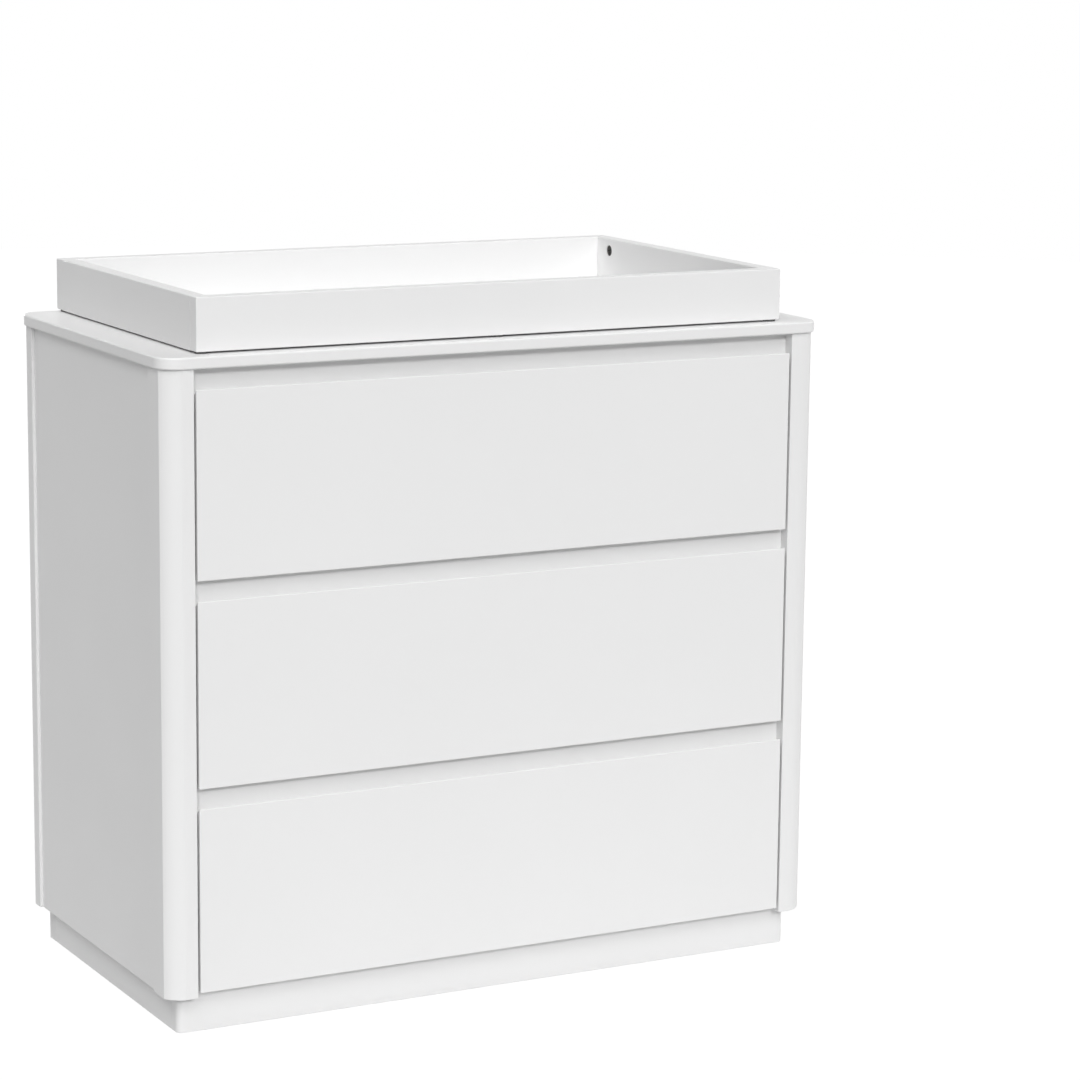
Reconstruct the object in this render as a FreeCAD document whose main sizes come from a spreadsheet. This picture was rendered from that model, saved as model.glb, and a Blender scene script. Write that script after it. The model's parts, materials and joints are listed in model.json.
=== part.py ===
"""Three-drawer changing dresser with a removable changing tray.

Millimetres. Z is up and the floor is Z = 0. The drawer fronts face -Y and +X is to the right of someone
who stands in front of them. The origin is the middle of the top panel's outline, on the floor.
"""
import FreeCAD, Part
import os
import re
import Sketcher

V = FreeCAD.Vector

# Driving sizes. Each one has a cell of its own in the sheet.
SIZES = {
    # top panel
    "top_width": 920,
    "top_depth": 495,
    "top_level": 840,
    "top_thickness": 15,
    "top_corner_radius": 28,
    "top_edge_radius": 2.5,
    "overhang": 4,
    # posts and side panels
    "post_width": 39,
    "post_front_depth": 50,
    "post_back_depth": 35,
    "post_corner_radius": 34,
    "post_corner_start": 30,
    "post_corner_end": 80,
    "panel_thickness": 15,
    "panel_recess": 4,
    # plinth
    "plinth_height": 48,
    "plinth_thickness": 20,
    "plinth_inset": 19,
    "plinth_corner_radius": 9,
    # back, bottom and rails
    "back_thickness": 4,
    "back_rabbet": 10,
    "bottom_thickness": 15,
    "rail_thickness": 20,
    "rail_depth": 60,
    "rail_gap": 1,
    "rail_reach": 15,
    "rail_overlap": 5,
    "runner_height": 50,
    # drawer fronts
    "front_thickness": 15,
    "front_land": 2,
    "front_side_gap": 3,
    "front_lift": 6,
    "front_edge_radius": 1.5,
    "groove_height": 25,
    # drawer boxes
    "box_side": 12,
    "box_height": 170,
    "box_lift": 14,
    "box_depth": 450,
    "box_floor": 5,
    "box_floor_rise": 10,
    "box_floor_tongue": 5,
    # ball-bearing slides
    "slide_width": 12.7,
    "slide_length": 450,
    "slide_height": 35,
    "slide_rise": 46,
    "slide_setback": 8,
    "slide_metal": 1.2,
    "channel_depth": 9.5,
    "slide_air": 0.8,
    "ball_radius": 2,
    "ball_play": 0.05,
    "ball_offset": 6,
    "ball_pitch": 25,
    "cage_metal": 0.8,
    "cage_length": 100,
    "cage_depth": 6.4,
    # fits
    "hole_play": 0.1,
    "board_play": 0.2,
    # knock-down fittings and dowels
    "cam_radius": 7.5,
    "cam_distance": 33,
    "cam_wall": 3.5,
    "cam_recess": 1.2,
    "cam_slot": 1.2,
    "cam_slot_length": 9,
    "cam_slot_depth": 2.2,
    "thread_radius": 3.5,
    "thread_length": 11,
    "shank_radius": 2.5,
    "bolt_head_radius": 3.3,
    "bolt_head_length": 3,
    "dowel_radius": 4,
    "dowel_length": 30,
    # screws
    "slide_screw_radius": 2,
    "slide_screw_length": 12,
    "slide_screw_head": 3.5,
    "slide_screw_head_height": 0.6,
    "slide_screw_inset": 12,
    "panel_screw_radius": 1.6,
    "panel_screw_length": 15,
    "panel_screw_head": 3.4,
    "panel_screw_head_height": 1.6,
    "long_screw_radius": 2,
    "long_screw_length": 28,
    "long_screw_head": 4,
    "long_screw_head_height": 2.4,
    # places of the fittings
    "panel_dowel_low": 110,
    "panel_dowel_pitch": 285,
    "bottom_cam_reach": 115,
    "top_screw_reach": 300,
    "back_screw_low": 110,
    "back_screw_pitch": 165,
    "back_screw_reach": 150,
    "box_cam_low": 40,
    "box_cam_pitch": 95,
    "box_screw_low": 95,
    "box_screw_pitch": 50,
    # changing tray
    "tray_width": 814,
    "tray_depth": 472,
    "tray_back_gap": 3,
    "tray_wall": 20,
    "tray_height": 66,
    "tray_edge_radius": 1.5,
    "tray_floor_thickness": 5,
    "tray_floor_rise": 4.6,
    "tray_floor_tongue": 6,
    "tray_cam_rise": 49.5,
    "tray_dowel_rise": 25,
    "pad_thickness": 2.5,
    "pad_radius": 8,
}

# Places that follow from the driving sizes.
DERIVED = {
    "body_x": "top_width / 2 - overhang",
    "body_y": "top_depth / 2 - overhang",
    "inner_x": "body_x - post_width",
    "under_top": "top_level - top_thickness",
    "post_round_x": "body_x - post_corner_radius * cos(post_corner_start * 1 deg)",
    "post_round_y": "body_y - post_corner_radius * sin(post_corner_end * 1 deg)",
    "post_front_in": "-body_y + post_front_depth",
    "post_back_in": "body_y - post_back_depth",
    "panel_out": "body_x - panel_recess",
    "panel_in": "panel_out - panel_thickness",
    "plinth_x": "body_x - plinth_inset",
    "plinth_y": "body_y - plinth_inset",
    "plinth_in_y": "plinth_y - plinth_thickness",
    "back_in": "body_y - back_thickness",
    "back_x": "inner_x + back_rabbet",
    "front_in": "-body_y + front_thickness",
    "rail_y": "front_in + rail_gap",
    "front_x": "inner_x - front_side_gap",
    "first_front": "plinth_height + front_lift",
    "drawer_pitch": "(under_top - first_front) / 3",
    "face_height": "drawer_pitch - groove_height",
    "top_rail_low": "under_top - groove_height - rail_reach",
    "box_x": "inner_x - slide_width",
    "box_in_x": "box_x - box_side",
    "box_end": "front_in + box_depth",
    "slide_y": "rail_y + slide_setback + slide_length / 2",
    "channel_in": "slide_height / 2 - slide_metal",
    "ball_z": "channel_in - ball_play - ball_radius",
    "rail_half": "ball_z - ball_radius - ball_play",
    "cage_x": "slide_metal + slide_air",
    "slide_rail_x": "cage_x + cage_metal + slide_air",
    "tray_x": "tray_width / 2",
    "tray_back": "top_depth / 2 - tray_back_gap",
    "tray_front": "tray_back - tray_depth",
    "tray_in_x": "tray_x - tray_wall",
    "tray_in_back": "tray_back - tray_wall",
    "tray_in_front": "tray_front + tray_wall",
    "tray_base": "top_level + pad_thickness",
}

LEVELS = ("lower", "middle", "upper")
SIDES = {"left": -1, "right": 1}
TINY = 1e-4

doc = FreeCAD.newDocument("changing_dresser")
sheet = doc.addObject("Spreadsheet::Sheet", "Sizes")
nodes = []


def fill_sheet():
    """Gives each driving size a row: its alias in column A and its number in column B."""
    for row, (alias, number) in enumerate(SIZES.items(), 1):
        sheet.set(f"A{row}", alias)
        sheet.set(f"B{row}", str(number))
        sheet.setAlias(f"B{row}", alias)
    doc.recompute()


def expand(formula):
    """The formula with derived places written out and each size as a reference to its cell."""
    def word(match):
        name = match.group()
        if name in DERIVED:
            return f"({expand(DERIVED[name])})"
        return f"Sizes.{name}" if name in SIZES else name
    return re.sub(r"[A-Za-z_]\w*", word, str(formula))


def value(formula):
    """The formula's number, in millimetres."""
    return float(sheet.evalExpression(expand(formula)))


def bind(thing, **formulas):
    for prop, formula in formulas.items():
        thing.setExpression(prop, expand(formula))


def place(thing, x, y, z, rotation=None):
    """Puts a piece's own origin at x, y, z, with a fixed turn if one is given."""
    if rotation is not None:
        thing.Placement.Rotation = rotation
    for axis, formula in zip("xyz", (x, y, z)):
        thing.setExpression(f"Placement.Base.{axis}", expand(formula))
    return thing


def turn(x_to, z_to):
    """The rotation that takes the X axis to x_to and the Z axis to z_to."""
    x_to = V(*x_to)
    z_to = V(*z_to)
    return FreeCAD.Rotation(x_to, z_to.cross(x_to), z_to, "ZXY")


def side_range(side, low, high):
    """The X range of a piece between two distances from the middle, on one side."""
    if side > 0:
        return low, high
    return f"-({high})", f"-({low})"


def box(name, x, y, z):
    """A block between a low and a high formula on each axis."""
    block = doc.addObject("Part::Box", name)
    for prop, (low, high) in zip(("Length", "Width", "Height"), (x, y, z)):
        bind(block, **{prop: f"({high}) - ({low})"})
    return place(block, x[0], y[0], z[0])


def cylinder(name, radius, low, high):
    """A cylinder on the Z axis between two heights."""
    round_bar = doc.addObject("Part::Cylinder", name)
    bind(round_bar, Radius=radius, Height=f"({high}) - ({low})")
    return place(round_bar, 0, 0, low)


def fuse(name, *shapes):
    joined = doc.addObject("Part::MultiFuse", name)
    joined.Shapes = list(shapes)
    return joined


def cut(name, base, *tools):
    """The base with each tool taken away in turn."""
    for number, tool in enumerate(tools, 1):
        result = doc.addObject("Part::Cut", f"{name}_cut_{number}")
        result.Base = base
        result.Tool = tool
        base = result
    return base


def group(name, master, places):
    """Separate copies of one master, each at its own place."""
    copies = doc.addObject("Part::Compound", name)
    links = []
    for number, (x, y, z, rotation) in enumerate(places, 1):
        link = doc.addObject("App::Link", f"{name}_{number}")
        link.LinkedObject = master
        link.LinkTransform = True
        links.append(place(link, x, y, z, rotation))
    copies.Links = links
    return copies


def several(name, *things):
    """Unlike pieces kept as one group."""
    together = doc.addObject("Part::Compound", name)
    together.Links = list(things)
    return together


def node(label, thing):
    """Names a finished sub-part and keeps it for the export."""
    thing.Label = label
    nodes.append(thing)
    return thing


# Boards with sketched outlines

def outline(body, plane, corners):
    """A closed outline of upright and level lines, whose first corner is the body's origin."""
    sketch = body.newObject("Sketcher::SketchObject", f"{body.Name}_outline")
    base = next(f for f in body.Origin.OriginFeatures if f.Role == plane)
    sketch.AttachmentSupport = [(base, "")]
    sketch.MapMode = "FlatFace"
    points = [V(value(u), value(v), 0) for u, v in corners]
    count = len(points)
    for number in range(count):
        sketch.addGeometry(Part.LineSegment(points[number], points[(number + 1) % count]), False)
    for number in range(count):
        sketch.addConstraint(Sketcher.Constraint("Coincident", number, 2, (number + 1) % count, 1))
    sketch.addConstraint(Sketcher.Constraint("Coincident", 0, 1, -1, 1))
    for number, (u, v) in enumerate(corners):
        upright = u == corners[(number + 1) % count][0]
        sketch.addConstraint(Sketcher.Constraint("Vertical" if upright else "Horizontal", number))
        formula = u if upright else v
        if formula != "0":
            kind = "DistanceX" if upright else "DistanceY"
            datum = Sketcher.Constraint(kind, -1, 1, number, 1, value(formula))
            index = sketch.addConstraint(datum)
            sketch.setExpression(f"Constraints[{index}]", expand(formula))
    return sketch


def pad(name, plane, corners, length):
    """A body padded from an outline, returned with its pad."""
    body = doc.addObject("PartDesign::Body", name)
    feature = body.newObject("PartDesign::Pad", f"{name}_pad")
    feature.Profile = outline(body, plane, corners)
    bind(feature, Length=length)
    doc.recompute()
    return body, feature


def rectangle(width, height):
    return [("0", "0"), (width, "0"), (width, height), ("0", height)]


def round_edges(body, feature, radius, wanted):
    """Rounds the edges that the test picks, and returns the new feature."""
    names = [f"Edge{i}" for i, edge in enumerate(feature.Shape.Edges, 1) if wanted(edge.BoundBox)]
    rounding = body.newObject("PartDesign::Fillet", f"{body.Name}_round")
    rounding.Base = (feature, names)
    bind(rounding, Radius=radius)
    doc.recompute()
    return rounding


def upright(b):
    return b.XLength < TINY and b.YLength < TINY


def level(b):
    return b.ZLength < TINY


# Fasteners. Each is made on the Z axis, with Z = 0 at the face that it enters.

def make_cam(name, board):
    """A cam lock let into a board, just below Z = 0. Its bolt comes in along X at half the board."""
    depth = f"{board} / 2 + cam_wall"
    barrel = cylinder(f"{name}_barrel", "cam_radius", f"-({depth})", "-cam_recess")
    cross_z = ("-cam_recess - cam_slot_depth", "0")
    mouth = box(f"{name}_mouth", ("-hole_play", "cam_radius * 2"),
                ("-thread_radius - hole_play", "thread_radius + hole_play"),
                (f"-({board} / 2) - cam_wall + hole_play * 2", f"-({board} / 2) + cam_wall"))
    slots = fuse(f"{name}_cross",
                 box(f"{name}_slot_1", ("-cam_slot_length / 2", "cam_slot_length / 2"),
                     ("-cam_slot / 2", "cam_slot / 2"), cross_z),
                 box(f"{name}_slot_2", ("-cam_slot / 2", "cam_slot / 2"),
                     ("-cam_slot_length / 2", "cam_slot_length / 2"), cross_z))
    bore = cylinder(f"{name}_bore", "cam_radius + hole_play", f"-({depth}) - hole_play", "hole_play")
    return cut(name, barrel, mouth, slots), bore


def make_bolt():
    """A cam bolt: thread below Z = 0, then the shank and the head that the cam draws in."""
    bolt = fuse("cam_bolt",
                cylinder("bolt_thread", "thread_radius", "-thread_length", "0"),
                cylinder("bolt_shank", "shank_radius", "0", "cam_distance - bolt_head_length"),
                cylinder("bolt_head", "bolt_head_radius", "cam_distance - bolt_head_length", "cam_distance"))
    bore = cylinder("bolt_bore", "thread_radius + hole_play", "-thread_length - hole_play", "cam_distance")
    return bolt, bore


def make_dowel():
    """A dowel with its middle at Z = 0."""
    dowel = cylinder("dowel", "dowel_radius", "-dowel_length / 2", "dowel_length / 2")
    bore = cylinder("dowel_bore", "dowel_radius + hole_play",
                    "-dowel_length / 2 - hole_play", "dowel_length / 2 + hole_play")
    return dowel, bore


def make_screw(kind):
    """A screw whose head stands on Z = 0 and whose shank goes down."""
    head = doc.addObject("Part::Cone", f"{kind}_head_cone")
    bind(head, Radius1=f"{kind}_head", Radius2=f"{kind}_head - {kind}_head_height", Height=f"{kind}_head_height")
    shank = cylinder(f"{kind}_shank", f"{kind}_radius", f"-{kind}_length", "0")
    bore = cylinder(f"{kind}_bore", f"{kind}_radius + hole_play", f"-{kind}_length - hole_play", "hole_play")
    return fuse(kind, head, shank), bore


fill_sheet()
rail_cam, rail_cam_bore = make_cam("rail_cam", "rail_thickness")
bottom_cam, bottom_cam_bore = make_cam("bottom_cam", "bottom_thickness")
box_cam, box_cam_bore = make_cam("box_cam", "box_side")
tray_cam, tray_cam_bore = make_cam("tray_cam", "tray_wall")
cam_bolt, bolt_bore = make_bolt()
dowel, dowel_bore = make_dowel()
slide_screw, slide_screw_bore = make_screw("slide_screw")
panel_screw, panel_screw_bore = make_screw("panel_screw")
long_screw, long_screw_bore = make_screw("long_screw")

UP = turn((1, 0, 0), (0, 0, 1))
DOWN = turn((1, 0, 0), (0, 0, -1))
TO_BACK = turn((1, 0, 0), (0, 1, 0))
TO_FRONT = turn((1, 0, 0), (0, -1, 0))


def inward(side):
    """Turns a Z axis from one side of the dresser towards its middle."""
    return turn((0, 1, 0), (-side, 0, 0))


def base_of(number):
    """Height of the lower edge of a drawer front, counted from the lowest."""
    return f"first_front + {number} * drawer_pitch"


# Where the carcass fittings go

# Each rail's low Y, low Z, depth and height. The front rails stand upright and close the finger grooves at the
# back; the back rail lies flat.
RAILS = {
    "top_rail_front": ("rail_y", "top_rail_low", "rail_thickness", "under_top - (top_rail_low)"),
    "top_rail_back": ("back_in - rail_depth", "under_top - rail_thickness", "rail_depth", "rail_thickness"),
}
for label, number in (("upper", 2), ("lower", 1)):
    RAILS[f"divider_rail_{label}"] = ("rail_y", f"{base_of(number)} - groove_height - rail_reach", "rail_thickness",
                                      "groove_height + rail_reach + rail_overlap")

rail_cams = []
rail_bolts = []
bottom_cams = []
bottom_bolts = []
for side in SIDES.values():
    for rail_name, (rail_low_y, rail_low_z, _, rail_height) in RAILS.items():
        if rail_name.endswith("back"):
            middle_y = "(post_back_in + back_in) / 2"
            middle_z = f"{rail_low_z} + rail_thickness / 2"
            cam_y, cam_z, outward = middle_y, rail_low_z, (0, 0, -1)
        else:
            middle_y = f"{rail_low_y} + rail_thickness / 2"
            middle_z = f"{rail_low_z} + ({rail_height}) / 2"
            cam_y, cam_z, outward = f"{rail_low_y} + rail_thickness", middle_z, (0, 1, 0)
        rail_cams.append((f"{side} * (inner_x - cam_distance)", cam_y, cam_z, turn((side, 0, 0), outward)))
        rail_bolts.append((f"{side} * inner_x", middle_y, middle_z, inward(side)))
    for reach in ("-bottom_cam_reach", "bottom_cam_reach"):
        bottom_cams.append((f"{side} * (panel_in - cam_distance)", reach, "plinth_height",
                            turn((side, 0, 0), (0, 0, -1))))
        bottom_bolts.append((f"{side} * panel_in", reach, "plinth_height + bottom_thickness / 2", inward(side)))

carcass_dowels = []
for side in SIDES.values():
    middle = f"{side} * (panel_in + panel_out) / 2"
    plinth_middle = f"{side} * (plinth_x - plinth_thickness / 2)"
    for joint in ("post_front_in", "post_back_in"):
        for number in range(3):
            height = f"panel_dowel_low + {number} * panel_dowel_pitch"
            carcass_dowels.append((middle, joint, height, TO_BACK))
    post_middles = ("-body_y + post_front_depth / 2", "body_y - post_back_depth / 2")
    for post_middle in post_middles:
        carcass_dowels.append((f"{side} * (inner_x + post_width / 2)", post_middle,
                               "top_level - dowel_length / 2 - top_thickness / 3", UP))
    for end in (-1, 1):
        carcass_dowels.append((plinth_middle, f"{end} * (plinth_y - plinth_thickness / 2)", "plinth_height", UP))
        carcass_dowels.append((plinth_middle, f"{end} * plinth_in_y", "plinth_height / 2 - dowel_radius", TO_BACK))

top_screws = []
for edge in ("rail_y + rail_thickness / 2", "back_in - rail_depth / 2"):
    for number in (-1, 0, 1):
        top_screws.append((f"{number} * top_screw_reach", edge, "under_top - rail_thickness", DOWN))

back_screws = []
for side in SIDES.values():
    for number in range(5):
        back_screws.append((f"{side} * (inner_x + back_rabbet / 2)", "body_y",
                            f"back_screw_low + {number} * back_screw_pitch", TO_BACK))
for height in ("under_top - rail_thickness / 2", "plinth_height + bottom_thickness / 2"):
    for number in (-1.5, -0.5, 0.5, 1.5):
        back_screws.append((f"{number} * back_screw_reach", "body_y", height, TO_BACK))

slide_places = {}
for number, label in enumerate(LEVELS):
    height = f"{base_of(number)} + box_lift + slide_rise"
    slide_places[label] = [(f"{side} * inner_x", "slide_y", height, turn((-side, 0, 0), (0, 0, 1)))
                           for side in SIDES.values()]

channel_screws = []
rail_screws = {}
for label, places in slide_places.items():
    rail_screws[label] = []
    for side, (_, _, height, _) in zip(SIDES.values(), places):
        for number in (-1, 1):
            half = "(slide_length / 2 - slide_screw_inset)"
            channel_screws.append((f"{side} * (inner_x - slide_metal)", f"slide_y + {number} * {half}",
                                   height, inward(side)))
            channel_screws.append((f"{side} * (inner_x - slide_metal)", f"slide_y + {number} * {half} * 0.4",
                                   height, inward(side)))
            rail_screws[label].append((f"{side} * (box_x + slide_metal)",
                                       f"(front_in + box_end) / 2 + {number} * (box_depth / 2 - rail_depth)",
                                       height, turn((0, 1, 0), (side, 0, 0))))

dowel_bores = group("dowel_bores", dowel_bore, carcass_dowels)
rail_cam_bores = group("rail_cam_bores", rail_cam_bore, rail_cams)
bottom_cam_bores = group("bottom_cam_bores", bottom_cam_bore, bottom_cams)
carcass_bolt_bores = group("carcass_bolt_bores", bolt_bore, rail_bolts + bottom_bolts)
top_screw_bores = group("top_screw_bores", long_screw_bore, top_screws)
back_screw_bores = group("back_screw_bores", panel_screw_bore, back_screws)
channel_screw_bores = group("channel_screw_bores", slide_screw_bore, channel_screws)
screw_well = cylinder("screw_well", "long_screw_head + hole_play", "-hole_play",
                      "groove_height + rail_reach - rail_thickness")
screw_wells = group("screw_wells", screw_well, [(x, y, "top_rail_low", UP) for x, y, _, _ in top_screws[:3]])


# Carcass

def make_top():
    body, board = pad("top_board", "XY_Plane", rectangle("top_width", "top_depth"), "top_thickness")
    corners = round_edges(body, board, "top_corner_radius", upright)
    round_edges(body, corners, "top_edge_radius", level)
    place(body, "-top_width / 2", "-top_depth / 2", "under_top")
    node("top_panel", cut("top_panel", body, dowel_bores, top_screw_bores))


def make_corner_waste(name, side, end):
    """What the rounding takes off a post's outer corner: a block less a cylinder.

    The round starts at an angle to the side face, so it meets that face in a crease.
    """
    through = ("plinth_height - front_lift", "under_top + front_lift")
    block = box(f"{name}_corner", side_range(side, "post_round_x", "body_x + overhang"),
                side_range(end, "post_round_y", "body_y + overhang"), through)
    bar = cylinder(f"{name}_corner_bar", "post_corner_radius", *through)
    place(bar, f"{side} * (post_round_x)", f"{end} * (post_round_y)", through[0])
    return cut(f"{name}_waste", block, bar)


def make_post(front, side_name):
    """A post with its outer corner rounded. A back post also has the rabbet for the back."""
    side = SIDES[side_name]
    name = f"post_{'front' if front else 'back'}_{side_name}"
    depth = ("-body_y", "post_front_in") if front else ("post_back_in", "body_y")
    board = box(f"{name}_board", side_range(side, "inner_x", "body_x"), depth, ("plinth_height", "under_top"))
    tools = [make_corner_waste(name, side, -1 if front else 1), dowel_bores, carcass_bolt_bores,
             channel_screw_bores]
    if not front:
        tools.append(box(f"{name}_rabbet", side_range(side, "0", "back_x"), ("back_in", "body_y + overhang"),
                         ("plinth_height - front_lift", "under_top + front_lift")))
        tools.append(back_screw_bores)
    node(name, cut(name, board, *tools))


def make_side_panel(side_name):
    name = f"side_panel_{side_name}"
    board = box(f"{name}_board", side_range(SIDES[side_name], "panel_in", "panel_out"),
                ("post_front_in", "post_back_in"), ("plinth_height", "under_top"))
    node(name, cut(name, board, dowel_bores, carcass_bolt_bores))


def make_rail(name, low_y, low_z, depth, height):
    """A rail. The front one under the top has deep wells for the heads of the screws that hold the top."""
    board = box(f"{name}_board", ("-inner_x", "inner_x"), (low_y, f"{low_y} + {depth}"),
                (low_z, f"{low_z} + {height}"))
    tools = [rail_cam_bores, carcass_bolt_bores]
    if name.startswith("top"):
        tools.append(top_screw_bores)
    if name == "top_rail_front":
        tools.append(screw_wells)
    if name.endswith("back"):
        tools.append(back_screw_bores)
    node(name, cut(name, board, *tools))


def make_bottom():
    """The bottom board lies on the plinth and is notched round the posts."""
    board = box("bottom_board", ("-panel_in", "panel_in"), ("rail_y", "back_in"),
                ("plinth_height", "plinth_height + bottom_thickness"))
    notches = []
    for side_name, side in SIDES.items():
        across = side_range(side, "inner_x", "body_x")
        through = ("plinth_height - front_lift", "plinth_height + bottom_thickness + front_lift")
        notches.append(box(f"notch_front_{side_name}", across, ("-body_y", "post_front_in"), through))
        notches.append(box(f"notch_back_{side_name}", across, ("post_back_in", "body_y"), through))
    node("bottom_panel", cut("bottom_panel", board, several("bottom_notches", *notches), bottom_cam_bores,
                             carcass_bolt_bores, back_screw_bores))


def make_back():
    board = box("back_board", ("-back_x + board_play", "back_x - board_play"), ("back_in", "body_y"),
                ("plinth_height", "under_top"))
    node("back_panel", cut("back_panel", board, back_screw_bores))


def make_runner_rails():
    """Rails between the posts, flush with them, that the slides are screwed to."""
    rails = []
    for label, places in slide_places.items():
        for side_name, (_, _, height, _) in zip(SIDES, places):
            rails.append(box(f"runner_{label}_{side_name}", side_range(SIDES[side_name], "inner_x", "panel_in"),
                             ("post_front_in", "post_back_in"),
                             (f"{height} - runner_height / 2", f"{height} + runner_height / 2")))
    node("runner_rails", cut("runner_rails", several("runner_boards", *rails), channel_screw_bores))


def make_plinth():
    """Front and back boards run the full width; the side boards stand between them."""
    body, board = pad("plinth_front_board", "XY_Plane", rectangle("plinth_x * 2", "plinth_thickness"),
                      "plinth_height")
    round_edges(body, board, "plinth_corner_radius", lambda b: upright(b) and b.YMin < TINY)
    place(body, "-plinth_x", "-plinth_y", "0")
    node("plinth_front", cut("plinth_front", body, dowel_bores))
    back = box("plinth_back_board", ("-plinth_x", "plinth_x"), ("plinth_in_y", "plinth_y"), ("0", "plinth_height"))
    node("plinth_back", cut("plinth_back", back, dowel_bores))
    for side_name, side in SIDES.items():
        name = f"plinth_{side_name}"
        board = box(f"{name}_board", side_range(side, "plinth_x - plinth_thickness", "plinth_x"),
                    ("-plinth_in_y", "plinth_in_y"), ("0", "plinth_height"))
        node(name, cut(name, board, dowel_bores))


make_top()
for side_name in SIDES:
    make_post(True, side_name)
    make_post(False, side_name)
    make_side_panel(side_name)
for rail_name, rail_sizes in RAILS.items():
    make_rail(rail_name, *rail_sizes)
make_bottom()
make_back()
make_runner_rails()
make_plinth()
node("carcass_cam_locks", several("carcass_cam_locks", group("rail_cam_locks", rail_cam, rail_cams),
                                  group("bottom_cam_locks", bottom_cam, bottom_cams)))
node("carcass_cam_bolts", group("carcass_cam_bolts", cam_bolt, rail_bolts + bottom_bolts))
node("carcass_dowels", group("carcass_dowels", dowel, carcass_dowels))
node("top_fixing_screws", group("top_fixing_screws", long_screw, top_screws))
node("back_panel_screws", group("back_panel_screws", panel_screw, back_screws))
node("slide_screws", group("slide_screws", slide_screw, channel_screws))


# Slides. In a slide's own frame X points from the post to the drawer and Y runs along it, from its middle.

def along(length):
    return f"-{length} / 2", f"{length} / 2"


def make_slide_masters():
    beyond = ("-slide_length", "slide_length")
    channel = cut("channel",
                  box("channel_block", ("0", "channel_depth"), along("slide_length"), along("slide_height")),
                  box("channel_space", ("slide_metal", "slide_width"), beyond, ("-channel_in", "channel_in")))
    rail = cut("slide_rail",
               box("slide_rail_block", ("slide_rail_x", "slide_width"), along("slide_length"),
                   ("-rail_half", "rail_half")),
               box("slide_rail_space", ("0", "slide_width - slide_metal"), beyond,
                   ("-rail_half + slide_metal", "rail_half - slide_metal")))
    cage_out = "ball_z + cage_metal / 2"
    cage_in = "ball_z - cage_metal / 2"
    strip = cut("cage_strip",
                box("cage_block", ("cage_x", "cage_x + cage_depth"), along("cage_length"),
                    (f"-({cage_out})", cage_out)),
                box("cage_space", ("cage_x + cage_metal", "slide_width"), beyond, (f"-({cage_in})", cage_in)))
    rows = [f"{number} * ball_pitch" for number in (-1.5, -0.5, 0.5, 1.5)]
    pocket = cylinder("ball_pocket", "ball_radius + ball_play", "-slide_height", "slide_height")
    pockets = group("ball_pockets", pocket, [("ball_offset", row, "0", UP) for row in rows])
    ball = doc.addObject("Part::Sphere", "ball")
    bind(ball, Radius="ball_radius")
    balls = group("balls", ball, [("ball_offset", row, f"{half} * (ball_z)", UP)
                                  for row in rows for half in (-1, 1)])
    return channel, rail, several("ball_cage", cut("cage", strip, pockets), balls)


channel_master, slide_rail_master, cage_master = make_slide_masters()
for label, places in slide_places.items():
    channels = group(f"{label}_channels", channel_master, places)
    node(f"{label}_slide_channels", cut(f"{label}_slide_channels", channels, channel_screw_bores))
    node(f"{label}_ball_cages", group(f"{label}_ball_cages", cage_master, places))


# Drawers

def make_front(name, base, tools):
    """The front board. Its top slopes down to the back behind a narrow land, for the fingers that pull it."""
    body, board = pad(f"{name}_board", "YZ_Plane", rectangle("front_thickness", "face_height"), "front_x * 2")
    face_top = value("face_height")
    back = value("front_thickness")
    edges = [f"Edge{i}" for i, edge in enumerate(board.Shape.Edges, 1)
             if edge.BoundBox.YMin > back - TINY and edge.BoundBox.ZMin > face_top - TINY]
    slope = body.newObject("PartDesign::Chamfer", f"{name}_slope")
    slope.Base = (board, edges)
    bind(slope, Size="front_thickness - front_land")
    doc.recompute()
    round_edges(body, slope, "front_edge_radius", lambda b: b.YMax < TINY)
    place(body, "-front_x", "-body_y", base)
    node(name, cut(name, body, *tools))


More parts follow.
